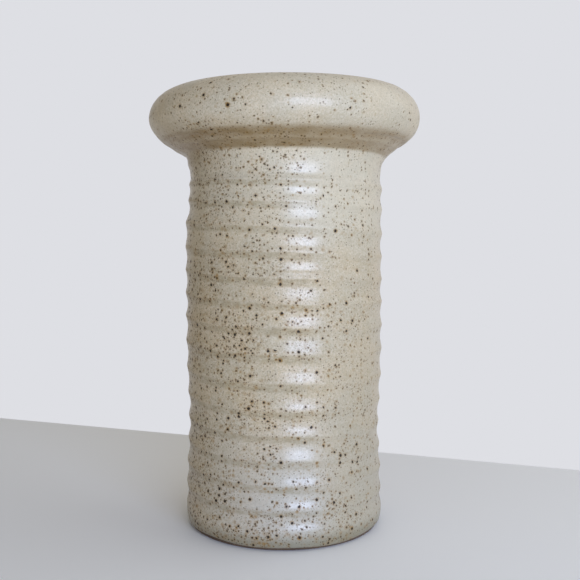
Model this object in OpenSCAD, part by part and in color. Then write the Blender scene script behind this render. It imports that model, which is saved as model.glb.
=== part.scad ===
// Wheel-thrown stoneware vase: a tall cylinder with throwing rings, flared at the
// neck, that carries a hollow doughnut rim luted on at a flat seam. A glaze coat
// covers the outside and a liner glaze covers the inside. All sizes in millimetres.
// The vase stands on Z = 0 and its axis is Z.

/* [Overall size] */
// Height from the foot to the crown of the rim
height = 250; // [235:1:270]
// Outside diameter of the body, over the crests of the rings
body_d = 115; // [112:1:120]
// Outside diameter of the doughnut rim
rim_d = 156; // [150:1:164]
// Diameter of the ring that the vase stands on
foot_d = 107; // [100:1:109]

/* [Throwing rings] */
// Height of the crest of the lowest ring
first_ring_z = 12; // [11:0.5:15]
// Number of grooves between the lowest and the highest crest
ring_turns = 14; // [10:1:18]
// Depth of a groove, from crest to valley
groove_depth = 1.3; // [0.4:0.1:1.6]
// How far the ring spacing drifts along the wall
ring_drift = 2.4; // [0:0.1:3]
// Depth of the shallow waist in the lower wall
waist_depth = 1.2; // [0:0.1:1.6]
// Height of the waist
waist_z = 62; // [50:1:80]
// Depth of the finger marks on the inside wall
finger_depth = 0.5; // [0:0.1:0.6]

/* [Neck and rim] */
// Width of the rim's rounded section, as set by its outer side
roll_w = 37.5; // [34:0.5:40]
// Height of the rim's rounded section
roll_h = 33; // [31:0.5:36]
// Slope of the flared neck under the rim, in degrees above level
flare_angle = 31; // [28:1:36]
// Radius of the hollow corner between wall and flare
neck_fillet = 8; // [5:0.5:9]
// Height of the plain wall between the highest groove and the neck
neck_band = 4; // [3:0.5:12]
// Inside diameter of the mouth
mouth_d = 94; // [90:1:95]
// Wall thickness of the hollow rim
roll_wall = 5; // [4:0.5:6]
// Diameter of the pinhole that vents the hollow rim
vent_d = 2; // [1.5:0.1:3]

/* [Inside and foot] */
// Inside diameter of the body
bore_d = 98; // [92:1:98]
// Thickness of the clay floor
floor_t = 9; // [7:0.5:11]
// Radius of the inside corner between floor and wall
floor_corner = 14; // [10:1:18]
// Height of the rounded edge above the foot
foot_round = 6; // [4:0.5:10]
// Width of the ring that the vase stands on
foot_ring_w = 8; // [6:0.5:10]
// Depth of the trimmed hollow inside the foot ring
foot_hollow = 1.5; // [1:0.1:2]

/* [Glaze] */
// Thickness of both glaze coats
glaze_t = 0.6; // [0.4:0.1:0.8]
// Height of the bare clay band above the foot
bare_band = 2; // [2:0.5:4]

/* [Hidden] */
$fn = 128;

ring_steps = 8;   // points along one groove
arc_step = 6;     // degrees between points on the round stretches
waist_spread = 26;
vent_drop = 7;    // distance of the vent below the middle of the roll

// Clay sizes: every outside glazed size less the glaze
clay_r = body_d/2 - glaze_t;
clay_bore_r = bore_d/2 + glaze_t;
clay_mouth_r = mouth_d/2 + glaze_t;
roll_a = roll_w/2 - glaze_t;
roll_b = roll_h/2 - glaze_t;
roll_x = rim_d/2 - roll_w/2;
roll_z = height - roll_h/2;
foot_r = foot_d/2;
neck_r = clay_r - groove_depth;

// Seam between the flared neck and the rim: level, where the flare meets the roll
seam_angle = -atan2(roll_b, roll_a*tan(flare_angle));
seam_z = roll_z + roll_b*sin(seam_angle);
seam_r = roll_x + roll_a*cos(seam_angle);
// Centre of the neck fillet, tangent to the wall and to the flare
fillet_x = neck_r + neck_fillet;
fillet_z = seam_z - (seam_r - fillet_x)*tan(flare_angle) - neck_fillet/cos(flare_angle);
// Mean distance from one crest to the next: the last half groove ends below the neck
ring_pitch = (fillet_z - neck_band - first_ring_z)/(ring_turns + 0.5);

// Height of the throwing spiral after n turns, and the waist at that height
function turn_z(n) = first_ring_z + ring_pitch*n - ring_drift*sin(360*n/ring_turns);
function waist(z) = waist_depth*exp(-pow((z - waist_z)/waist_spread, 2));

// A point of an ellipse about [x, z] with half axes [a, b]
function on_ellipse(x, z, a, b, angle) = [x + a*cos(angle), z + b*sin(angle)];

// The clay's outline from the foot up to the seam
function foot_edge() =
    let (bulge = clay_r - waist(first_ring_z) - foot_r)
    [for (a = [-90:arc_step:0]) on_ellipse(foot_r, foot_round, bulge, foot_round, a)];
function wall() =
    [for (i = [0:ring_steps*(ring_turns + 0.5)])
        let (n = i/ring_steps, z = turn_z(n))
        [clay_r - waist(z) - groove_depth*abs(sin(180*n)), z]];
function neck() =
    [for (a = [180:-arc_step:90 + flare_angle])
        on_ellipse(fillet_x, fillet_z, neck_fillet, neck_fillet, a)];
function outside() = concat(foot_edge(), wall(), neck());

// The clay's outline over the rim, from the outer to the inner end of the seam
function roll() =
    concat(
        [for (a = [seam_angle:arc_step:-arc_step/2])
            on_ellipse(roll_x, roll_z, roll_a, roll_b, a)],
        [for (a = [0:arc_step:90])
            on_ellipse(roll_x, roll_z, roll_a, roll_b, a)],
        [for (a = [90 + arc_step:arc_step:180])
            on_ellipse(roll_x, roll_z, roll_x - clay_mouth_r, roll_b, a)]
    );
function throat() =
    [for (s = [0.25:0.25:1])
        [clay_mouth_r + (clay_bore_r - clay_mouth_r)*(1 - cos(180*s))/2,
         roll_z + (seam_z - roll_z)*s]];

// The clay's outline inside, from the seam down to the middle of the floor
function inside() =
    [for (i = [ring_steps*(ring_turns + 1):-1:0])
        let (n = i/ring_steps, z = turn_z(n))
        if (z > floor_t + floor_corner + 1)
            [clay_bore_r + finger_depth*pow(sin(180*n), 2), z]];
function bottom() =
    concat(
        [for (a = [0:-arc_step:-90])
            on_ellipse(clay_bore_r - floor_corner, floor_t + floor_corner,
                       floor_corner, floor_corner, a)],
        [[0, floor_t]]
    );

outside_path = outside();
rim_path = concat(roll(), throat());
inside_path = concat(inside(), bottom());
skin = concat(outside_path, rim_path, inside_path);
last = len(skin) - 1;

// The skin moved out by the glaze thickness, square to its own direction
function grown(i) =
    let (d = skin[min(i + 1, last)] - skin[max(i - 1, 0)])
    skin[i] + glaze_t*[d.y, -d.x]/norm(d);

// The outer coat runs from above the foot to the narrowest point of the mouth
glaze_start = min([for (i = [0:last]) if (skin[i].y > bare_band) i]);
glaze_join = len(outside_path) + len(roll()) - 1;

module coat(first, end) {
    rotate_extrude()
        polygon(concat(
            [for (i = [first:end]) skin[i]],
            [for (i = [end:-1:first]) grown(i)]
        ));
}

// A pinhole from the hollow of the rim through to the inside of the vase
module vent() {
    translate([0, 0, roll_z - vent_drop])
        rotate([-90, 0, 0])
            cylinder(d = vent_d, h = roll_x);
}

module thrown_body() {
    hollow_r = foot_r - foot_ring_w;
    color("#8f8170")
        rotate_extrude()
            polygon(concat(
                [[0, foot_hollow], [hollow_r - foot_hollow, foot_hollow], [hollow_r, 0]],
                outside_path,
                [[seam_r, seam_z], [clay_bore_r, seam_z]],
                inside_path
            ));
}

module rim_ring() {
    mid_r = (clay_mouth_r + rim_d/2 - glaze_t)/2;
    mid_z = (seam_z + height - glaze_t)/2;
    color("#8f8170")
        difference() {
            rotate_extrude()
                difference() {
                    polygon(rim_path);
                    polygon([for (a = [0:arc_step:359])
                        on_ellipse(mid_r, mid_z, mid_r - clay_mouth_r - roll_wall,
                                   mid_z - seam_z - roll_wall, a)]);
                }
            vent();
        }
}

module outer_glaze() {
    color("#c9c1b2")
        coat(glaze_start, glaze_join);
}

module inner_glaze() {
    color("#b9ad98")
        difference() {
            coat(glaze_join, last);
            vent();
        }
}

thrown_body();
rim_ring();
outer_glaze();
inner_glaze();
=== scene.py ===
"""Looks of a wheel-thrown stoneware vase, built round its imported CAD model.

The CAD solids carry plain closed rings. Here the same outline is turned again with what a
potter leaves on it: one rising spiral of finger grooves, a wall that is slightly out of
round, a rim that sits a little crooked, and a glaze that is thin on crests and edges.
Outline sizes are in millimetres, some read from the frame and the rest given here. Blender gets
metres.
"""

import math

import bmesh
import bpy
import numpy as np
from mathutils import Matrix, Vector


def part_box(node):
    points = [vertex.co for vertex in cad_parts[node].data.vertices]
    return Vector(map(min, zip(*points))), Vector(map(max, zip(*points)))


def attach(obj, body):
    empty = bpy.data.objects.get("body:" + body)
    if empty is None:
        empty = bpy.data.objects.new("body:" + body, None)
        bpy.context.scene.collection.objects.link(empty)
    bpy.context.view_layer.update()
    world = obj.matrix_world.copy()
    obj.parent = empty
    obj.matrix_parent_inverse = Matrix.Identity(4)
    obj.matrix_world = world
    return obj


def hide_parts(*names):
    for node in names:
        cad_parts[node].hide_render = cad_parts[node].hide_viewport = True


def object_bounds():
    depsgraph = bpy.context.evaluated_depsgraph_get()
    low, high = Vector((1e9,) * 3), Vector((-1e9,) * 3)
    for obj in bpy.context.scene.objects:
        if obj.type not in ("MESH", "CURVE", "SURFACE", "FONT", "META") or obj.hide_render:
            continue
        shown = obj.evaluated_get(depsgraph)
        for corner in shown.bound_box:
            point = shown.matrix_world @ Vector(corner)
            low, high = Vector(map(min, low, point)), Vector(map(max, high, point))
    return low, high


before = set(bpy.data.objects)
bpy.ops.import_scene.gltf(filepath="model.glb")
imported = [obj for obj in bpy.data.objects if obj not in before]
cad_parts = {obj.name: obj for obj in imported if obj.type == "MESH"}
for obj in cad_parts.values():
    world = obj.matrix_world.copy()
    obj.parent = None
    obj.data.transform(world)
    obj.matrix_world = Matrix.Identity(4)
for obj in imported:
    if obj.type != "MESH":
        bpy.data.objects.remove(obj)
cad_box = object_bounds()

MM = 0.001
TURN = 2 * math.pi


# ---------------------------------------------------------------- sizes from the frame

def box_mm(node):
    """Lowest and highest corner of a CAD node, in millimetres."""
    low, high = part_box(node)
    return low / MM, high / MM


def widest_mm(node, z_low, z_high):
    """Largest radius that a CAD node reaches between two heights."""
    points = np.array([vertex.co[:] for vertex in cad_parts[node].data.vertices]) / MM
    band = points[(points[:, 2] >= z_low) & (points[:, 2] <= z_high)]
    return float(np.hypot(band[:, 0], band[:, 1]).max())


HEIGHT = cad_box[1].z / MM
RIM_R = cad_box[1].x / MM
GLAZE_T = HEIGHT - box_mm("rim_ring")[1].z
SEAM_R, _, SEAM_Z = box_mm("thrown_body")[1]
FLOOR_Z = box_mm("inner_glaze")[0].z
BARE_BAND = box_mm("outer_glaze")[0].z
GLAZE_EDGE_Z = BARE_BAND - 0.3
BODY_R = widest_mm("thrown_body", 0.40 * HEIGHT, 0.80 * HEIGHT)
FOOT_R = widest_mm("thrown_body", 0, 0.01)
FINGER_DEPTH = 0.5
BORE_R = box_mm("inner_glaze")[1].x - FINGER_DEPTH

# The rim's rounded section, as in the CAD model
ROLL_A = 37.5 / 2 - GLAZE_T
ROLL_B = 33.0 / 2 - GLAZE_T
ROLL_X = RIM_R - GLAZE_T - ROLL_A
ROLL_Z = HEIGHT - GLAZE_T - ROLL_B
MOUTH_R = 47.0 + GLAZE_T
ROLL_WALL = 5.0
VENT_R = 1.0
VENT_Z = ROLL_Z - 7.0
VENT_SIDES = 24

# Neck, foot and inside corner
NECK_Z = 200.8
NECK_LEAN = 1.3
NECK_BEND = 1.2
FOOT_ROUND = 10.0
FOOT_RING_W = 8.0
FOOT_HOLLOW = 1.5
FLOOR_CORNER = 14.0

# Throwing spiral: a crest in front at FRONT_CREST, and how far one turn climbs
FRONT_CREST = 23.2
RING_PITCH = 13.0
GROOVE_DEPTH = 1.3
WAIST_DEPTH = 1.2
WAIST_Z = 62.0
WAIST_SPREAD = 26.0
NECK_R = BODY_R - GROOVE_DEPTH

COLUMNS = 300
FINE = 0.65


# ---------------------------------------------------------------- outline of the clay

def smooth(value, low, high):
    """0 below low, 1 above high, with an even slope between."""
    t = np.clip((value - low) / (high - low), 0, 1)
    return t * t * (3 - 2 * t)


def ellipse(x, z, a, b, start, end, step):
    """Points of an ellipse about (x, z) between two angles in degrees."""
    length = abs(math.radians(end - start)) * max(a, b)
    angles = np.radians(np.linspace(start, end, max(int(length / step), 4) + 1))
    return np.stack([x + a * np.cos(angles), z + b * np.sin(angles)], axis=1)


def line(start, end, step):
    """Points of a straight line, both ends included."""
    count = max(int(math.dist(start, end) / step), 1) + 1
    return np.linspace(start, end, count)


def waist(z):
    """How far the wall draws in at a height."""
    return WAIST_DEPTH * np.exp(-((z - WAIST_Z) / WAIST_SPREAD) ** 2)


SEAM_ANGLE = -math.asin((ROLL_Z - SEAM_Z) / ROLL_B)
FLARE = math.atan2(ROLL_B * math.cos(SEAM_ANGLE), -ROLL_A * math.sin(SEAM_ANGLE))
FLARE_Z = SEAM_Z - (SEAM_R - NECK_R - NECK_LEAN - NECK_BEND) * math.tan(FLARE)


def underside():
    """From the middle of the trimmed hollow out to the edge of the foot ring."""
    inner = FOOT_R - FOOT_RING_W
    hollow = [(0, FOOT_HOLLOW), (inner - FOOT_HOLLOW, FOOT_HOLLOW), (inner, 0), (FOOT_R, 0)]
    return np.concatenate([line(a, b, 0.7)[:-1] for a, b in zip(hollow, hollow[1:])])


def foot_edge():
    """The rounded edge between the foot ring and the wall."""
    bulge = BODY_R - waist(FOOT_ROUND) - FOOT_R
    return ellipse(FOOT_R, FOOT_ROUND, bulge, FOOT_ROUND, -90, 0, 0.35)


def wall():
    """The wall over its crests; the grooves are cut into it later."""
    z = np.arange(FOOT_ROUND + FINE, NECK_Z - FINE / 2, FINE)
    return np.stack([BODY_R - waist(z) - GROOVE_DEPTH * smooth(z, NECK_Z - 5, NECK_Z), z],
                    axis=1)


def neck():
    """Leans out a little, then bends tightly into the flare, which runs up to the seam."""
    s = np.linspace(0, 1, 31)
    curve = np.stack([NECK_R + NECK_LEAN * s + NECK_BEND * s ** 12,
                      NECK_Z + (FLARE_Z - NECK_Z) * s], axis=1)
    return np.concatenate([curve, line(curve[-1], (SEAM_R, SEAM_Z), FINE)[1:-1]])


def roll():
    """Over the rim, from the outer end of the seam to the narrowest point of the mouth."""
    outer = ellipse(ROLL_X, ROLL_Z, ROLL_A, ROLL_B, math.degrees(SEAM_ANGLE), 90, 0.8)
    inner = ellipse(ROLL_X, ROLL_Z, ROLL_X - MOUTH_R, ROLL_B, 90, 180, 0.8)
    return np.concatenate([outer, inner[1:]])


def throat():
    """From the mouth down to the bore, at the height of the seam."""
    s = np.linspace(0, 1, 18)[1:-1]
    return np.stack([MOUTH_R + (BORE_R - MOUTH_R) * (1 - np.cos(math.pi * s)) / 2,
                     ROLL_Z + (SEAM_Z - ROLL_Z) * s], axis=1)


def inside():
    """Down the bore, round the corner and in to the middle of the floor."""
    bore = line((BORE_R, SEAM_Z), (BORE_R, FLOOR_Z + FLOOR_CORNER), 1.0)
    corner = ellipse(BORE_R - FLOOR_CORNER, FLOOR_Z + FLOOR_CORNER,
                     FLOOR_CORNER, FLOOR_CORNER, 0, -90, 1.0)
    floor = line(corner[-1], (0, FLOOR_Z), 1.2)
    return np.concatenate([bore, corner[1:], floor[1:]])


STRETCHES = [("underside", underside()), ("foot_edge", foot_edge()), ("wall", wall()),
             ("neck", neck()), ("roll", roll()), ("throat", throat()), ("inside", inside())]
OUTLINE = np.concatenate([points for _, points in STRETCHES])
STARTS = dict(zip([name for name, _ in STRETCHES],
                  np.cumsum([0] + [len(points) for _, points in STRETCHES[:-1]])))
LAST = len(OUTLINE) - 1
MOUTH_ROW = STARTS["throat"] - 1


def outline_normals():
    """Unit normals of the outline, pointing out of the clay."""
    along = np.gradient(OUTLINE, axis=0)
    normals = np.stack([along[:, 1], -along[:, 0]], axis=1)
    return normals / np.linalg.norm(normals, axis=1)[:, None]


# ---------------------------------------------------------------- what the potter left

ANGLES = np.arange(COLUMNS) * TURN / COLUMNS
R = OUTLINE[:, 0:1]
Z = OUTLINE[:, 1:2]


def wander(seed, size, shortest=35, longest=160, lobes=4, waves=8):
    """A slow, seeded field over height and angle, which closes on itself round the vase."""
    dice = np.random.default_rng(seed)
    field = np.zeros((len(OUTLINE), COLUMNS))
    for _ in range(waves):
        around = dice.integers(0, lobes + 1)
        height = dice.uniform(shortest, longest)
        start = dice.uniform(0, TURN)
        field += np.cos(around * ANGLES[None, :] + TURN * Z / height + start)
    return size * field / math.sqrt(waves)


def rows(name, following=None):
    """1 on the rows of a stretch of the outline, or from one up to another, else 0."""
    names = [n for n, _ in STRETCHES]
    end = STARTS[following] if following else STARTS[names[names.index(name) + 1]]
    mask = np.zeros((len(OUTLINE), 1))
    mask[STARTS[name]:end] = 1
    return mask


def spiral_turns():
    """Turns of the throwing spiral at each point of the grid, whole numbers on its crests.
    The hand climbs faster a little below mid height and slows under the neck."""
    z = np.linspace(-20, HEIGHT, 2000)
    climb = RING_PITCH + 2.4 * np.exp(-((z - 91) / 16) ** 2) \
        + 0.8 * np.exp(-((z - 168) / 8) ** 2) - 3.1 * smooth(z, 183, 195)
    turns = np.cumsum((z[1] - z[0]) / climb)
    turns -= np.interp(FRONT_CREST, z, turns)
    leaning = Z - 0.8 * (np.sin(ANGLES)[None, :] + 1)
    leaning = leaning + (1 - np.cos(ANGLES)[None, :]) * (1 - smooth(Z, 90, 150))
    return np.interp(leaning, z, turns) + ANGLES[None, :] / TURN - 0.75


def grooves():
    """Depth of the finger grooves, the lee just under each crest, and the crests themselves."""
    turns = spiral_turns() + wander(3, 0.02, 20, 70)
    soft = 0.12
    scallop = np.sqrt(np.sin(math.pi * turns) ** 2 + soft ** 2) - soft
    span = smooth(Z, 9, 17) * (1 - smooth(Z, NECK_Z - 5, NECK_Z))
    span = span * rows("foot_edge", "roll")
    depth = GROOVE_DEPTH * (1 + wander(5, 0.16, 25, 80))
    part = turns % 1
    lee = smooth(part, 0.62, 0.74) * (1 - smooth(part, 0.93, 1)) * span
    crest = smooth(np.cos(TURN * turns), 0.72, 0.98) * span
    return depth * scallop * span, lee, crest


def fine_lines(seed, size, low, high, waves=14):
    """Thin turning lines, nearly level, with uneven spacing."""
    dice = np.random.default_rng(seed)
    field = np.zeros((len(OUTLINE), COLUMNS))
    path = np.concatenate([[0], np.cumsum(np.linalg.norm(np.diff(OUTLINE, axis=0), axis=1))])
    for _ in range(waves):
        pitch = dice.uniform(low, high)
        start = dice.uniform(0, TURN)
        field += np.cos(TURN * path[:, None] / pitch + ANGLES[None, :] + start)
    return size * field / math.sqrt(waves)


GROOVES, LEE, CREST = grooves()


def lopsided_flare(right):
    """The flare under the rim: pushed up a little on its left, and fuller on its right."""
    below = rows("neck", "roll") * smooth(Z, FLARE_Z - 6, FLARE_Z - 1)
    below = below + rows("roll", "throat") * (1 - smooth(Z, ROLL_Z - 10, ROLL_Z))
    bend = 1.4 * np.exp(-((Z - FLARE_Z + 1) / 3) ** 2) - 0.5 * np.exp(-((Z - SEAM_Z - 1) / 3) ** 2)
    bend = bend * rows("neck", "throat") * (Z < ROLL_Z)
    return bend * np.clip(right, 0, 1) ** 2 - 1.0 * below * np.clip(-right, 0, 1) ** 2


def clay_relief():
    """How far the clay stands out from the plain outline, along its normal."""
    body = rows("foot_edge", "throat")
    relief = -GROOVES
    relief = relief + body * smooth(Z, 2, 20) * wander(11, 0.16, 60, 200, lobes=3)
    relief = relief + body * fine_lines(17, 0.022, 2.6, 5.5)
    relief = relief + rows("roll", "throat") * wander(23, 0.12, 14, 60, lobes=3)
    right = np.cos(ANGLES)[None, :]
    relief = relief + rows("roll", "throat") * 0.6 * np.clip(right, 0, 1) ** 2
    waist_right = np.exp(-((Z - 58) / 16) ** 2) * rows("wall")
    relief = relief - 0.9 * waist_right * np.clip(right, 0, 1) ** 2
    shoulder = smooth(Z, 172, 186) * (1 - smooth(Z, 204, 213)) * rows("foot_edge", "roll")
    relief = relief - shoulder * (0.3 + 0.7 * (1 - right))
    relief = relief + lopsided_flare(right)
    hollow = np.exp(-((R - SEAM_R + 1.3) / 1.6) ** 2)
    ridge = np.exp(-((R - SEAM_R + 5.3) / 1.6) ** 2)
    relief = relief + (0.22 * ridge - 0.10 * hollow) * rows("neck", "throat") * (Z < ROLL_Z - 5)
    fingers = np.sin(math.pi * spiral_turns()) ** 2
    bore = np.zeros((len(OUTLINE), 1))
    bore[STARTS["inside"]:] = 1
    bore = bore * smooth(Z, FLOOR_Z + 6, FLOOR_Z + 20) * (1 - smooth(Z, SEAM_Z - 14, SEAM_Z))
    relief = relief - bore * FINGER_DEPTH * fingers
    floor = np.zeros((len(OUTLINE), 1))
    floor[STARTS["inside"]:] = 1
    floor = floor * (Z < FLOOR_Z + 2) * smooth(R, 3, 9)
    relief = relief + floor * 0.25 * np.cos(TURN * R / 9 + ANGLES[None, :])
    trimmed = rows("underside") * smooth(R, 2, 6) * (Z > FOOT_HOLLOW - 0.01)
    relief = relief + trimmed * 0.12 * np.cos(TURN * R / 3.1 + ANGLES[None, :])
    return relief


def glaze_thickness():
    """Thickness of the glaze: thin over crests, fat in the grooves, round at its lower edge."""
    rise = np.clip((Z - GLAZE_EDGE_Z) / 1.1, 0, 1)
    rise[STARTS["roll"]:] = 1
    bead = np.sqrt(1 - (1 - rise) ** 2)
    even = 0.85 + 0.3 * GROOVES / GROOVE_DEPTH
    return GLAZE_T * even * bead


def settle(r, z):
    """Warps the rim, higher at its sides, and the glaze's lower edge; then makes points."""
    wave = 0.35 * np.cos(3 * ANGLES + 1)[None, :] + 0.25 * np.cos(7 * ANGLES + 4)[None, :]
    near_edge = smooth(z, 0.2, 1.7) * (1 - smooth(z, 3, 9)) * smooth(r, FOOT_R - 4, FOOT_R - 2)
    z = z + wave * near_edge
    x = r * np.cos(ANGLES)[None, :]
    y = r * np.sin(ANGLES)[None, :]
    warped = smooth(z, NECK_Z, SEAM_Z + 4)
    right = np.cos(ANGLES)[None, :]
    z = z + warped * (-0.35 + 0.6 * right + 0.75 * (2 * right * right - 1))
    return np.stack([x, y, z], axis=2) * MM


def surfaces():
    """Grids of the clay surface and of the glaze surface, both (rows, columns, 3)."""
    normals = outline_normals()
    relief = clay_relief()
    glaze = relief + glaze_thickness()
    clay_grid = settle(R + normals[:, 0:1] * relief, Z + normals[:, 1:2] * relief)
    glaze_grid = settle(R + normals[:, 0:1] * glaze, Z + normals[:, 1:2] * glaze)
    return clay_grid, glaze_grid


CLAY, GLAZE = surfaces()


# ---------------------------------------------------------------- meshes

def stride(first, last, step):
    """Row numbers from first to last, thinned, with both ends kept."""
    kept = list(range(first, last, step))
    return kept + [last]


def strip_faces(count, closed):
    """Quads between neighbouring rows of a grid whose columns close round the axis."""
    i = np.arange(count if closed else count - 1)[:, None]
    j = np.arange(COLUMNS)[None, :]
    below, above = i * COLUMNS, (i + 1) % count * COLUMNS
    beside = (j + 1) % COLUMNS
    return np.stack([below + j, below + beside, above + beside, above + j],
                    axis=2).reshape(-1, 4)


def bake_map(grid, closed, poles):
    """Corner coordinates for baking: round the axis one way, along the outline the other."""
    mid = grid[:, 0, :]
    ends = [mid, mid[:1]] if closed else [mid]
    steps = np.linalg.norm(np.diff(np.concatenate(ends), axis=0), axis=1)
    v = 0.004 + 0.992 * np.concatenate([[0], np.cumsum(steps)]) / steps.sum()
    u = 0.004 + 0.992 * np.arange(COLUMNS + 1) / COLUMNS
    rows_n = len(v) - 1
    low, high = np.repeat(v[:-1], COLUMNS), np.repeat(v[1:], COLUMNS)
    left, right = np.tile(u[:-1], rows_n), np.tile(u[1:], rows_n)
    quads = np.stack([left, low, right, low, right, high, left, high], axis=1).reshape(-1, 2)
    if not poles:
        return quads
    fans = []
    for edge, tip, flip in ((v[0], 0.001, True), (v[-1], 0.999, False)):
        corners = [(u[1:], edge), (u[:-1], edge)] if flip else [(u[:-1], edge), (u[1:], edge)]
        (a, ea), (b, eb) = corners
        middle = (u[:-1] + u[1:]) / 2
        fans.append(np.stack([a, a * 0 + ea, b, b * 0 + eb, middle, a * 0 + tip],
                             axis=1).reshape(-1, 2))
    return np.concatenate([quads] + fans)


def lathe(name, grid, closed, **values):
    """A closed solid turned about the axis. An open grid is closed by a point at each end.
    Each keyword is a number per point for the material to read."""
    count = len(grid)
    points = grid.reshape(-1, 3)
    faces = strip_faces(count, closed).tolist()
    if not closed:
        tips = [grid[0].mean(axis=0) * (0, 0, 1), grid[-1].mean(axis=0) * (0, 0, 1)]
        points = np.concatenate([points, tips])
        top = (count - 1) * COLUMNS
        ring = range(COLUMNS)
        faces += [[(j + 1) % COLUMNS, j, len(points) - 2] for j in ring]
        faces += [[top + j, top + (j + 1) % COLUMNS, len(points) - 1] for j in ring]
    mesh = bpy.data.meshes.new(name)
    mesh.from_pydata(points.tolist(), [], faces)
    mesh.uv_layers.new(name="OFBake").data.foreach_set(
        "uv", bake_map(grid, closed, not closed).reshape(-1))
    for key, value in values.items():
        mesh.attributes.new(key, "FLOAT", "POINT").data.foreach_set(
            "value", value.reshape(-1).astype(np.float32))
    mesh.shade_smooth()
    mesh.set_sharp_from_angle(angle=math.radians(55))
    piece = bpy.data.objects.new(name, mesh)
    bpy.context.scene.collection.objects.link(piece)
    return piece


def thin_glaze():
    """Painted shade just under each crest, from 0 to 1: a browner tint that is much stronger on the
    left.
    """
    left = 1 - smooth(np.cos(ANGLES)[None, :], 0.05, 0.45)
    return (0.10 + 0.65 * left) * LEE


def under_rim_shade_and_specks():
    """Painted shade in a browner band under the rim, where the specks also crowd, and painted shade
    on the left of the neck.
    """
    flare = smooth(Z, FLARE_Z - 2.4, FLARE_Z + 0.6) * rows("neck", "roll")
    left = -np.cos(ANGLES)[None, :]
    curl = 1 - smooth(Z, SEAM_Z, SEAM_Z + 4.0)
    curl = np.maximum(curl, (0.25 + 0.2 * left) * (1 - smooth(Z, SEAM_Z, ROLL_Z - 3)))
    ridge = 0.22 * np.exp(-((R - SEAM_R + 4.3) / 1.2) ** 2)
    band = (flare * (1 - ridge) + curl * rows("roll", "throat")) * (0.88 + 0.12 * left)
    shade = 0.9 * np.clip(left, 0, 1) ** 3 * smooth(Z, FLARE_Z - 16, FLARE_Z - 2)
    return np.maximum(band, shade * rows("wall", "roll"))


LEE_SHADE = thin_glaze()
UNDER_RIM_SHADE_AND_SPECKS = under_rim_shade_and_specks()


def outer_glaze_piece():
    """The outer coat, from the bare band above the foot up to the mouth, and its back."""
    first = int(np.argmax(OUTLINE[STARTS["foot_edge"]:, 1] > GLAZE_EDGE_Z)) - 1
    first += STARTS["foot_edge"]
    front = list(range(first, MOUTH_ROW + 1))
    back = stride(first, MOUTH_ROW, 4)[::-1][:-1]
    grid = np.concatenate([GLAZE[front], CLAY[back]])
    order = front + back
    # The first two values carry painted shade, under each crest and under the rim; the one under
    # the rim also crowds the specks.
    return lathe("glaze_outer", grid, True, thin=LEE_SHADE[order], under=UNDER_RIM_SHADE_AND_SPECKS[order],
                 crest=CREST[order])


def liner_piece():
    """The liner glaze, from the mouth down over the floor, and its back."""
    front = list(range(MOUTH_ROW, LAST))
    back = stride(MOUTH_ROW, LAST - 1, 3)
    grid = np.concatenate([CLAY[back[::-1]], GLAZE[front]])
    return lathe("glaze_liner", grid, False)


def body_piece():
    """The thrown body: underside, foot, wall, flare, seam and the inside down to the floor."""
    seam = STARTS["roll"]
    outside = list(range(1, STARTS["wall"] + 6)) + stride(STARTS["wall"] + 6, seam, 3)
    inner = stride(STARTS["inside"], LAST - 1, 2)
    grid = np.concatenate([CLAY[outside], CLAY[inner]])
    return lathe("clay_body", grid, False)


def rim_hollow():
    """The hollow inside the rim, wound the other way so that it reads as a void."""
    mid_r = (MOUTH_R + RIM_R - GLAZE_T) / 2
    mid_z = (SEAM_Z + HEIGHT - GLAZE_T) / 2
    wide = mid_r - MOUTH_R - ROLL_WALL
    tall = mid_z - SEAM_Z - ROLL_WALL
    section = ellipse(mid_r, mid_z, wide, tall, 360, 0, 1.5)[:-1]
    grid = settle(section[:, 0:1], section[:, 1:2])
    return lathe("rim_hollow", grid, True)


def rim_piece():
    """The hollow rim: its skin over the seam, and the hollow inside it."""
    skin = stride(STARTS["roll"], STARTS["inside"], 2)
    return merge(lathe("clay_rim", CLAY[skin], True), rim_hollow())


def merge(piece, other):
    """Adds another piece's mesh to the first piece, and drops the other."""
    both = bmesh.new()
    both.from_mesh(piece.data)
    both.from_mesh(other.data)
    both.to_mesh(piece.data)
    both.free()
    bpy.data.objects.remove(other)
    return piece


def drill_vent(piece):
    """Marks the outline of the rim's vent pinhole on the walls that it should pass through.
    The prism's faces point inwards, so the cut takes nothing out and the pinhole stays shut
    in these meshes. It is open in the CAD model."""
    turns = [TURN * i / VENT_SIDES for i in range(VENT_SIDES)]
    ends = (MOUTH_R - 8, ROLL_X)
    points = [(VENT_R * math.cos(t), y, VENT_Z + VENT_R * math.sin(t)) for y in ends for t in turns]
    sides = [(i, (i + 1) % VENT_SIDES, (i + 1) % VENT_SIDES + VENT_SIDES, i + VENT_SIDES)
             for i in range(VENT_SIDES)]
    caps = [tuple(range(VENT_SIDES))[::-1], tuple(range(VENT_SIDES, 2 * VENT_SIDES))]
    mesh = bpy.data.meshes.new("vent_drill")
    mesh.from_pydata([Vector(point) * MM for point in points], [], sides + caps)
    drill = bpy.data.objects.new("vent_drill", mesh)
    bpy.context.scene.collection.objects.link(drill)
    cut = piece.modifiers.new("vent", "BOOLEAN")
    cut.operation = "DIFFERENCE"
    cut.solver = "EXACT"
    cut.object = drill
    finished = piece.evaluated_get(bpy.context.evaluated_depsgraph_get())
    tidy = bmesh.new()
    tidy.from_mesh(bpy.data.meshes.new_from_object(finished))
    piece.modifiers.clear()
    bpy.data.objects.remove(drill)
    bmesh.ops.remove_doubles(tidy, verts=tidy.verts, dist=0.002 * MM)
    bmesh.ops.triangulate(tidy, faces=[face for face in tidy.faces if len(face.verts) > 4])
    tidy.to_mesh(piece.data)
    tidy.free()
    return piece


def finish_piece(piece, material, node):
    piece.data.materials.append(material)
    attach(piece, "root")
    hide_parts(node)


# ---------------------------------------------------------------- materials

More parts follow.
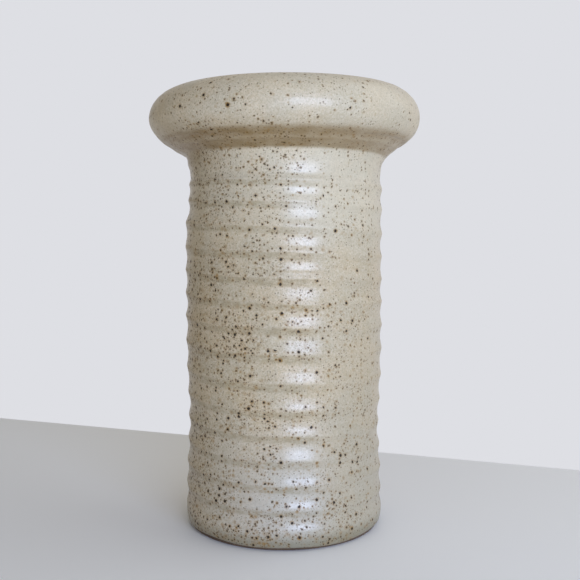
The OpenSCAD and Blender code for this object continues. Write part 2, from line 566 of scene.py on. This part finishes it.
class Tree:
    """A short way to write node trees: every call adds a node and returns its output."""

    def __init__(self, tree):
        self.tree = tree

    def add(self, kind, inputs=(), output=0, **settings):
        node = self.tree.nodes.new(kind)
        for key, value in settings.items():
            setattr(node, key, value)
        for key, value in dict(inputs).items():
            if isinstance(value, bpy.types.NodeSocket):
                self.tree.links.new(value, node.inputs[key])
            else:
                node.inputs[key].default_value = value
        return node.outputs[output]

    def math(self, operation, a, b):
        return self.add("ShaderNodeMath", {0: a, 1: b}, operation=operation)

    def ramp(self, value, low, high, out_low=0.0, out_high=1.0):
        """Smooth step of a value from low to high."""
        return self.add("ShaderNodeMapRange",
                        {"Value": value, "From Min": low, "From Max": high,
                         "To Min": out_low, "To Max": out_high},
                        interpolation_type="SMOOTHSTEP")

    def mix(self, amount, a, b):
        """Colour a where amount is 0 and colour b where it is 1."""
        return self.add("ShaderNodeMix", {0: amount, 6: a, 7: b}, output=2, data_type="RGBA")


class Surface(Tree):
    """The node tree of a new material, with textures placed in millimetres."""

    def __init__(self, name):
        self.material = bpy.data.materials.new(name)
        self.material.use_nodes = True
        super().__init__(self.material.node_tree)
        self.shader = self.tree.nodes["Principled BSDF"]

    def place(self, offset=(0, 0, 0), stretch=(1, 1, 1)):
        """Position on the object in millimetres, shifted and stretched."""
        coordinate = self.add("ShaderNodeTexCoord", output=3)
        return self.add("ShaderNodeMapping",
                        {"Vector": coordinate, "Location": offset,
                         "Scale": [s / MM for s in stretch]})

    def noise(self, size, offset=(0, 0, 0), stretch=(1, 1, 1), detail=3.0, roughness=0.55):
        """Noise whose features are about size millimetres across."""
        return self.add("ShaderNodeTexNoise",
                        {"Vector": self.place(offset, stretch), "Scale": 1 / size,
                         "Detail": detail, "Roughness": roughness})

    def specks(self, cell, radius, share, offset, soft=0.12, ragged=0.10):
        """Ragged round specks: one per cell at most, of random size, on a share of cells.
        Returns the specks, a wider halo round each, and a random number for each."""
        where = self.place(offset)
        jitter = self.add("ShaderNodeTexNoise", {"Vector": where, "Scale": 2.2,
                                                 "Detail": 2.0}, output=1)
        jitter = self.add("ShaderNodeVectorMath", {0: jitter, 1: (0.5, 0.5, 0.5)},
                          operation="SUBTRACT")
        jitter = self.add("ShaderNodeVectorMath", {0: jitter, "Scale": cell * ragged * 4},
                          operation="SCALE")
        where = self.add("ShaderNodeVectorMath", {0: where, 1: jitter}, operation="ADD")
        cells = self.tree.nodes.new("ShaderNodeTexVoronoi")
        self.tree.links.new(where, cells.inputs["Vector"])
        cells.inputs["Scale"].default_value = 1 / cell
        distance = self.math("MULTIPLY", cells.outputs["Distance"], cell)
        dice = self.add("ShaderNodeSeparateColor", {0: cells.outputs["Color"]})
        chance, growth, tone = dice.node.outputs
        size = self.math("MULTIPLY_ADD", self.math("POWER", growth, 2.0), radius[1] - radius[0])
        size.node.inputs[2].default_value = radius[0]
        there = self.math("LESS_THAN", chance, share)
        spot = self.ramp(distance, self.math("ADD", size, soft),
                         self.math("SUBTRACT", size, soft))
        halo = self.ramp(distance, self.math("MULTIPLY", size, 2.6), size)
        return self.math("MULTIPLY", spot, there), self.math("MULTIPLY", halo, there), tone


def rgb(red, green, blue):
    """A colour given as 0-255 display values, as linear light."""
    linear = [(v / 255 / 12.92) if v < 10.3 else ((v / 255 + 0.055) / 1.055) ** 2.4
              for v in (red, green, blue)]
    return (*linear, 1.0)


def glaze_material(name, body, cool, warm, density):
    """Satin oatmeal glaze: mottled and full of iron specks. Its tint and its crowding of specks
    also change with height and from left to right; the changes of tint are painted light and shade."""
    n = Surface(name)
    shift = n.ramp(n.noise(26, detail=2.0), 0.38, 0.62)
    colour = n.mix(shift, rgb(*body), rgb(*cool))
    patches = n.ramp(n.noise(7.5, offset=(40, 0, 9), detail=3.0), 0.50, 0.72)
    colour = n.mix(n.math("MULTIPLY", patches, 0.30), colour, rgb(*warm))
    curd = n.ramp(n.noise(1.5, offset=(1, 9, 4), detail=2.0), 0.42, 0.68)
    colour = n.mix(n.math("MULTIPLY", curd, 0.30), colour, rgb(226, 217, 192))
    grain = n.ramp(n.noise(0.8, offset=(7, 3, 1), detail=2.0, roughness=0.6), 0.40, 0.66)
    colour = n.mix(n.math("MULTIPLY", grain, 0.30), colour, rgb(122, 104, 66))

    across, _, up = n.add("ShaderNodeSeparateXYZ", {0: n.place()}).node.outputs
    # Painted light: the upper body is tinted paler, most on the right and less on the rim.
    pale = n.math("MULTIPLY", n.ramp(up, 148, 186, 0, 0.26), n.ramp(up, 205, 222, 1.0, 0.5))
    pale = n.math("MULTIPLY", pale, n.ramp(across, -50, 50, 1.0, 1.6))
    colour = n.mix(pale, colour, rgb(226, 217, 192))
    # Painted light: a cool grey on the lower body, less on the right and on the far left.
    painted_cool_light = n.math("MULTIPLY", n.ramp(up, 85, 18, 0, 0.45), n.ramp(across, 10, 35, 1.0, 0.3))
    painted_cool_light = n.math("MULTIPLY", painted_cool_light, n.ramp(across, -50, -10, 0.3, 1.0))
    colour = n.mix(painted_cool_light, colour, rgb(184, 186, 184))
    # Painted shade: a darker olive on the lower right.
    painted_low_right_shade = n.math("MULTIPLY", n.ramp(up, 150, 20, 0.10, 0.48), n.ramp(across, 5, 35))
    colour = n.mix(painted_low_right_shade, colour, rgb(163, 155, 134))
    # Painted shade: darker towards the bottom of the foot, near the table.
    colour = n.mix(n.ramp(up, 13, 3, 0, 0.68), colour, rgb(118, 111, 84))
    # Painted shade under the rim and on the left of the neck: a clouded brown tint.
    under = n.add("ShaderNodeAttribute", {}, output=2, attribute_name="under")
    clouded = n.ramp(n.noise(9, offset=(2, 8, 5), detail=3.0), 0.3, 0.7, 0.68, 0.92)
    colour = n.mix(n.math("MULTIPLY", under, clouded), colour, rgb(128, 98, 42))

    # Painted shade: a browner tint just under each crest, mostly on the left, broken up by noise.
    thin = n.add("ShaderNodeAttribute", {}, output=2, attribute_name="thin")
    broken = n.ramp(n.noise(5.0, offset=(3, 3, 3), stretch=(1, 1, 2.5)), 0.30, 0.70, 0.35, 1.0)
    colour = n.mix(n.math("MULTIPLY", n.math("MULTIPLY", thin, broken), 0.62), colour,
                   rgb(132, 114, 72))

    crowd = n.noise(24, offset=(11, 5, 30), detail=2.0)
    crowd = n.ramp(crowd, 0.36, 0.66, 0.45 * density, 1.60 * density)
    crowd = n.math("MULTIPLY", crowd, n.ramp(up, 208, 225, 1.0, 0.58))
    crowd = n.math("MULTIPLY", crowd, n.ramp(up, 150, 85, 0.90, 1.18))
    crowd = n.math("MULTIPLY", crowd, n.ramp(across, 25, -35, 0.72, 1.30))
    crowd = n.math("ADD", crowd, n.math("MULTIPLY", under, 0.70))
    crowd = n.math("ADD", crowd, n.ramp(up, 24, 8, 0, 0.35))
    big = n.math("MULTIPLY", n.ramp(up, 160, 222, 0.30, 0.06), n.ramp(across, 10, -30, 0.9, 1.7))
    dust = n.specks(1.0, (0.20, 0.34), n.math("MULTIPLY", crowd, 0.42), (5, 1, 2), soft=0.12)
    small = n.specks(1.4, (0.30, 0.46), n.math("MULTIPLY", crowd, 0.42), (9, 4, 7), soft=0.12)
    middling = n.math("MULTIPLY", crowd, n.ramp(up, 205, 222, 0.44, 0.36))
    middle = n.specks(2.1, (0.38, 0.60), middling, (17, 8, 3), soft=0.12)
    large = n.specks(3.2, (0.55, 0.85), n.math("MULTIPLY", crowd, big), (31, 2, 6),
                     soft=0.15, ragged=0.07)

    amber = n.math("MAXIMUM", n.math("MULTIPLY", middle[1], 0.50),
                   n.math("MULTIPLY", large[1], 0.70))
    amber = n.math("MULTIPLY", amber, n.ramp(patches, 0, 1, 0.60, 1.3))
    colour = n.mix(amber, colour, rgb(150, 108, 34))
    colour = n.mix(n.math("MULTIPLY", dust[0], 0.50), colour, rgb(106, 80, 32))
    colour = n.mix(n.math("MULTIPLY", small[0], 0.66), colour, rgb(86, 60, 18))
    dark = n.mix(middle[2], rgb(42, 26, 4), rgb(98, 70, 18))
    colour = n.mix(n.math("MULTIPLY", middle[0], 0.88), colour, dark)
    colour = n.mix(n.math("MULTIPLY", large[0], 0.96), colour, rgb(32, 18, 2))

    pits = n.math("MAXIMUM", n.math("MULTIPLY", middle[0], 0.7), large[0])
    pits = n.math("MAXIMUM", pits, n.math("MULTIPLY", small[0], 0.4))
    gloss = n.ramp(n.noise(9, offset=(9, 9, 9)), 0.3, 0.7, 0.29, 0.40)
    gloss = n.math("ADD", gloss, n.math("MULTIPLY", pits, 0.32))
    gloss = n.math("ADD", gloss, n.ramp(up, 205, 222, 0, 0.07))
    crest = n.add("ShaderNodeAttribute", {}, output=2, attribute_name="crest")
    gloss = n.math("ADD", gloss, n.math("MULTIPLY", crest, 0.12))
    dull = n.math("MAXIMUM", pits, n.math("MULTIPLY", crest, 0.6))
    height = n.math("MULTIPLY", n.noise(3.0, offset=(4, 1, 1), detail=2.0), 0.05)
    lines = n.noise(1.6, offset=(2, 2, 2), stretch=(0.05, 0.05, 1), detail=2.0)
    height = n.math("ADD", height, n.math("MULTIPLY", lines, 0.02))
    height = n.math("SUBTRACT", height, n.math("MULTIPLY", pits, 0.05))
    bump = n.add("ShaderNodeBump", {"Height": height, "Distance": MM, "Strength": 0.8})

    n.tree.links.new(colour, n.shader.inputs["Base Color"])
    n.tree.links.new(gloss, n.shader.inputs["Roughness"])
    n.tree.links.new(bump, n.shader.inputs["Normal"])
    n.shader.inputs["IOR"].default_value = 1.47
    n.tree.links.new(n.ramp(dull, 0, 1, 0.25, 0.0), n.shader.inputs["Coat Weight"])
    n.shader.inputs["Coat Roughness"].default_value = 0.19
    return n.material


def clay_material():
    """Bare fired stoneware: brown, matt, with grit and iron specks."""
    n = Surface("bare_stoneware")
    tone = n.ramp(n.noise(14, detail=3.0), 0.35, 0.65)
    colour = n.mix(tone, rgb(112, 92, 72), rgb(92, 74, 58))
    grit = n.ramp(n.noise(0.8, offset=(5, 5, 5), detail=3.0), 0.42, 0.62)
    colour = n.mix(n.math("MULTIPLY", grit, 0.35), colour, rgb(84, 66, 48))
    iron = n.specks(3.4, (0.25, 0.7), 0.5, (8, 1, 4))
    colour = n.mix(n.math("MULTIPLY", iron[0], 0.8), colour, rgb(40, 28, 20))
    height = n.math("MULTIPLY", n.noise(0.7, offset=(1, 1, 8), detail=4.0), 0.12)
    bump = n.add("ShaderNodeBump", {"Height": height, "Distance": MM, "Strength": 1.0})
    n.tree.links.new(colour, n.shader.inputs["Base Color"])
    n.tree.links.new(n.ramp(grit, 0, 1, 0.78, 0.92), n.shader.inputs["Roughness"])
    n.tree.links.new(bump, n.shader.inputs["Normal"])
    return n.material


def floor_material():
    """Plain pale matt surface."""
    n = Surface("pale_floor")
    n.shader.inputs["Base Color"].default_value = rgb(248, 249, 250)
    n.shader.inputs["Roughness"].default_value = 0.6
    n.shader.inputs["Specular IOR Level"].default_value = 0.25
    return n.material


# ---------------------------------------------------------------- camera, light and floor

CAMERA = Vector((0, -468.5, 155.7)) * MM
LOOK_AT = Vector((3.5, 0, 135.8)) * MM


def aim(thing, target):
    thing.rotation_euler = (target - thing.location).to_track_quat("-Z", "Y").to_euler()


def add_camera():
    data = bpy.data.cameras.new("camera")
    data.sensor_width = 36
    data.lens = 49.3
    data.clip_start, data.clip_end = 0.01, 50
    camera = bpy.data.objects.new("camera", data)
    bpy.context.scene.collection.objects.link(camera)
    camera.location = CAMERA
    aim(camera, LOOK_AT)
    bpy.context.scene.camera = camera


def add_area(name, azimuth, elevation, distance, size, power, colour):
    """A soft panel. Azimuth 0 is in front, on the camera's side, and 90 is to the right."""
    data = bpy.data.lights.new(name, "AREA")
    data.shape = "RECTANGLE"
    data.size, data.size_y = size
    data.energy = power
    data.color = colour
    panel = bpy.data.objects.new(name, data)
    bpy.context.scene.collection.objects.link(panel)
    a, e = math.radians(azimuth), math.radians(elevation)
    middle = Vector((0, 0, HEIGHT / 2)) * MM
    panel.location = middle + distance * Vector(
        (math.sin(a) * math.cos(e), -math.cos(a) * math.cos(e), math.sin(e)))
    aim(panel, middle)


def add_lights():
    """A cool window in front on the right, and a bright neutral room beyond it."""
    add_area("window", 20, 8, 1.6, (0.92, 0.66), 24.2, (0.60, 0.71, 0.98))
    add_area("bright_room", 85, 38, 0.75, (0.8, 0.7), 1.45, (0.97, 0.98, 1.0))


def add_world():
    """Plain pale backdrop to look at. The light is not the backdrop's: it comes mostly from
    behind, as off a wall, and less and warmer from the left."""
    world = bpy.data.worlds.new("studio")
    world.use_nodes = True
    n = Tree(world.node_tree)
    direction = n.add("ShaderNodeTexCoord")
    split = n.add("ShaderNodeSeparateXYZ", {0: direction}).node
    left = n.ramp(split.outputs["X"], 0.35, -0.35)
    behind = n.ramp(split.outputs["Y"], -0.1, 0.8)
    colour = n.mix(left, (0.03, 0.03, 0.03, 1), (0.16, 0.13, 0.08, 1))
    dim = n.math("MULTIPLY", left, n.ramp(split.outputs["Y"], 0.95, 0.50))
    wall = n.mix(dim, (0.66, 0.65, 0.66, 1), (0.34, 0.30, 0.22, 1))
    colour = n.mix(behind, colour, wall)
    above = n.ramp(split.outputs["Z"], 0.60, 0.90)
    colour = n.mix(above, colour, (0.48, 0.47, 0.44, 1))
    around = n.add("ShaderNodeBackground", {"Color": colour})
    plain = world.node_tree.nodes["Background"]
    plain.inputs["Color"].default_value = rgb(222, 223, 228)
    seen = n.add("ShaderNodeLightPath")
    choice = n.add("ShaderNodeMixShader", {0: seen, 1: around, 2: plain.outputs[0]})
    n.tree.links.new(choice, world.node_tree.nodes["World Output"].inputs["Surface"])
    bpy.context.scene.world = world


def add_floor():
    """A pale table top, large in front and beside the vase, whose far edge runs behind it."""
    length, depth = 6.0, 4.0
    far = Vector((0, 0.186, 0))
    along = Vector((1, -0.39, 0)).normalized()
    away = Vector((along.y, -along.x, 0))
    corners = [far - length * along, far + length * along,
               far + length * along + depth * away, far - length * along + depth * away]
    mesh = bpy.data.meshes.new("table_top")
    mesh.from_pydata([corner[:] for corner in corners], [], [(0, 3, 2, 1)])
    mesh.materials.append(floor_material())
    floor = bpy.data.objects.new("table_top", mesh)
    bpy.context.scene.collection.objects.link(floor)


# ---------------------------------------------------------------- assembly

bpy.context.scene.view_settings.view_transform = "Standard"
add_camera()
add_lights()
add_world()
add_floor()

clay = clay_material()
speckled = glaze_material("speckled_glaze", (206, 187, 154), (200, 185, 156), (188, 166, 122),
                          density=1.0)
liner = glaze_material("liner_glaze", (194, 180, 147), (188, 177, 149), (174, 151, 112),
                       density=0.6)

finish_piece(outer_glaze_piece(), speckled, "outer_glaze")
finish_piece(drill_vent(liner_piece()), liner, "inner_glaze")
finish_piece(body_piece(), clay, "thrown_body")
finish_piece(drill_vent(rim_piece()), clay, "rim_ring")
